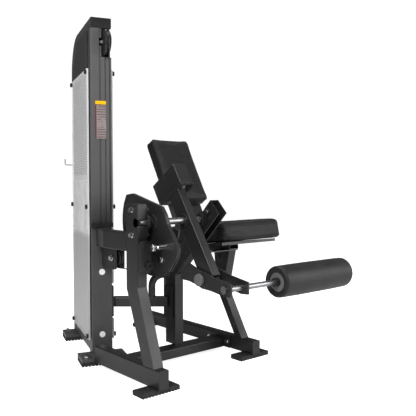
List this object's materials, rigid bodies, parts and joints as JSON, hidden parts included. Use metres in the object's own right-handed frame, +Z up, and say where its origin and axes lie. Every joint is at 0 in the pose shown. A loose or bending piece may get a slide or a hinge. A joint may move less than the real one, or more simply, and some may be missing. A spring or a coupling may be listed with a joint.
{
  "type": "leg extension machine",
  "caption": "Seated leg extension machine: padded seat and backrest, foam shin roller on a counterweighted lever, cam and cable to a shrouded weight stack tower.",
  "frame": {"origin": "on the floor, at the middle of the whole machine's length and width", "axes": "+Z up; the user faces -Y; the weight tower stands on the -X side, the seat on the +X side"},
  "size_m": [1.086, 1.297, 1.604],
  "materials": {
    "frame_paint": "semi-gloss graphite powder coat",
    "tower_paint": "semi-gloss graphite powder coat",
    "black_plastic": "moulded, slightly textured",
    "rubber": "matt black rubber",
    "vinyl": "black upholstery vinyl",
    "foam": "smooth black foam skin",
    "bright_steel": "bright plated",
    "steel": "ground steel",
    "grey_plastic": "light grey moulding",
    "white_plastic": "white plug",
    "perforated_sheet": "light grey perforated sheet",
    "dark_sheet": "dark grey sheet",
    "guard_plastic": "ribbed guard, satin",
    "label": "blank coloured plate",
    "weight_paint": "black painted plate",
    "cable_jacket": "black coated steel cable"
  },
  "bodies": {
    "frame": {"base_rails": "frame_paint", "joint_plates": "frame_paint", "end_caps": "black_plastic", "rubber_feet": "rubber", "bearing_post": "frame_paint", "seat_post": "frame_paint", "seat_legs": "frame_paint", "seat_bracket": "frame_paint", "braces": "frame_paint", "link_arm": "frame_paint", "stop_block": "black_plastic", "tower_base": "tower_paint", "front_column": "tower_paint", "column_plugs": "white_plastic", "rear_column_and_beam": "tower_paint", "tower_caps": "black_plastic", "column_guard": "guard_plastic", "left_shroud": "perforated_sheet", "right_shroud": "perforated_sheet", "upper_shrouds": "dark_sheet", "shroud_knobs": "black_plastic", "towel_hook": "steel", "guard_label": "label", "resting_weight_plates": "weight_paint", "guide_rods": "bright_steel", "stack_bumpers": "rubber", "crossbar": "tower_paint", "pulley_brackets": "frame_paint", "cable": "cable_jacket", "shaft_bearings": "black_plastic", "frame_bolts": "bright_steel", "seat_pad": "vinyl", "seat_pan": "black_plastic", "seat_rail": "frame_paint"},
    "cam_body": {"cam": "frame_paint", "cam_fittings": "bright_steel"},
    "start_pin_body": {"start_pin": "bright_steel"},
    "lever_body": {"main_shaft": "steel", "start_disc": "frame_paint", "lever_arm": "frame_paint", "counterweight": "weight_paint", "lever_fasteners": "grey_plastic"},
    "roller_arm_body": {"roller_arm": "frame_paint", "roller_shaft": "steel", "roller_collars": "black_plastic"},
    "roller_body": {"roller_hub": "grey_plastic", "roller_pad": "foam"},
    "stack_body": {"lifted_weight_plates": "weight_paint", "head_plate": "weight_paint", "selector_stem": "steel"},
    "selector_pin_body": {"selector_pin": "black_plastic"},
    "rear_pulley_body": {"rear_top_pulley": "black_plastic"},
    "front_pulley_body": {"front_top_pulley": "black_plastic"},
    "lower_pulley_body": {"lower_pulley": "black_plastic"},
    "back_body": {"back_pad": "vinyl", "back_plate": "frame_paint", "back_post": "frame_paint", "back_carriage": "frame_paint"},
    "carriage_pin_body": {"carriage_pin": "grey_plastic"}
  },
  "joints": [
    {"name": "knee_extension", "type": "hinge", "parent": "frame", "child": "cam_body", "pos_m": [-0.387, -0.30047, 0.678], "axis": [-1, 0, 0], "range_deg": [0, 80]},
    {"name": "start_angle", "type": "hinge", "parent": "cam_body", "child": "lever_body", "pos_m": [-0.387, -0.30047, 0.678], "axis": [-1, 0, 0], "range_deg": [-30, 15]},
    {"name": "start_pin_pull", "type": "slide", "parent": "cam_body", "child": "start_pin_body", "axis": [-1, 0, 0], "range_m": [0, 0.014], "stiffness_N_per_m": 800, "springref_m": -0.006},
    {"name": "roller_arm_swing", "type": "hinge", "parent": "lever_body", "child": "roller_arm_body", "pos_m": [-0.2205, -0.42047, 0.432], "axis": [-1, 0, 0], "range_deg": [-15, 20]},
    {"name": "roller_spin", "type": "hinge", "parent": "roller_arm_body", "child": "roller_body", "pos_m": [0.072, -0.57647, 0.409], "axis": [1, 0, 0], "continuous": true},
    {"name": "stack_lift", "type": "slide", "parent": "frame", "child": "stack_body", "axis": [0, 0, 1], "range_m": [0, 0.305]},
    {"name": "selector_pin_pull", "type": "slide", "parent": "stack_body", "child": "selector_pin_body", "axis": [0.9461, -0.3239, 0], "range_m": [0, 0.09]},
    {"name": "rear_pulley_spin", "type": "hinge", "parent": "frame", "child": "rear_pulley_body", "pos_m": [-0.32586, 0.2898, 1.494], "axis": [0.9745, -0.2244, 0], "range_deg": [0, 320]},
    {"name": "front_pulley_spin", "type": "hinge", "parent": "frame", "child": "front_pulley_body", "pos_m": [-0.37089, 0.09426, 1.494], "axis": [0.9745, -0.2244, 0], "range_deg": [0, 320]},
    {"name": "lower_pulley_spin", "type": "hinge", "parent": "frame", "child": "lower_pulley_body", "pos_m": [-0.38312, -0.00335, 0.499], "axis": [-1, 0, 0], "range_deg": [0, 390]},
    {"name": "backrest_slide", "type": "slide", "parent": "frame", "child": "back_body", "axis": [0, 0.9925, -0.1219], "range_m": [-0.03, 0.05]},
    {"name": "carriage_pin_pull", "type": "slide", "parent": "back_body", "child": "carriage_pin_body", "axis": [-1, 0, 0], "range_m": [0, 0.016], "stiffness_N_per_m": 800, "springref_m": -0.006}
  ],
  "couplings": [
    {"joint": "stack_lift", "follows": "knee_extension", "m_per_rad": 0.2145},
    {"joint": "rear_pulley_spin", "follows": "knee_extension", "ratio": 3.9358},
    {"joint": "front_pulley_spin", "follows": "knee_extension", "ratio": 3.9358},
    {"joint": "lower_pulley_spin", "follows": "knee_extension", "ratio": 4.8202}
  ]
}
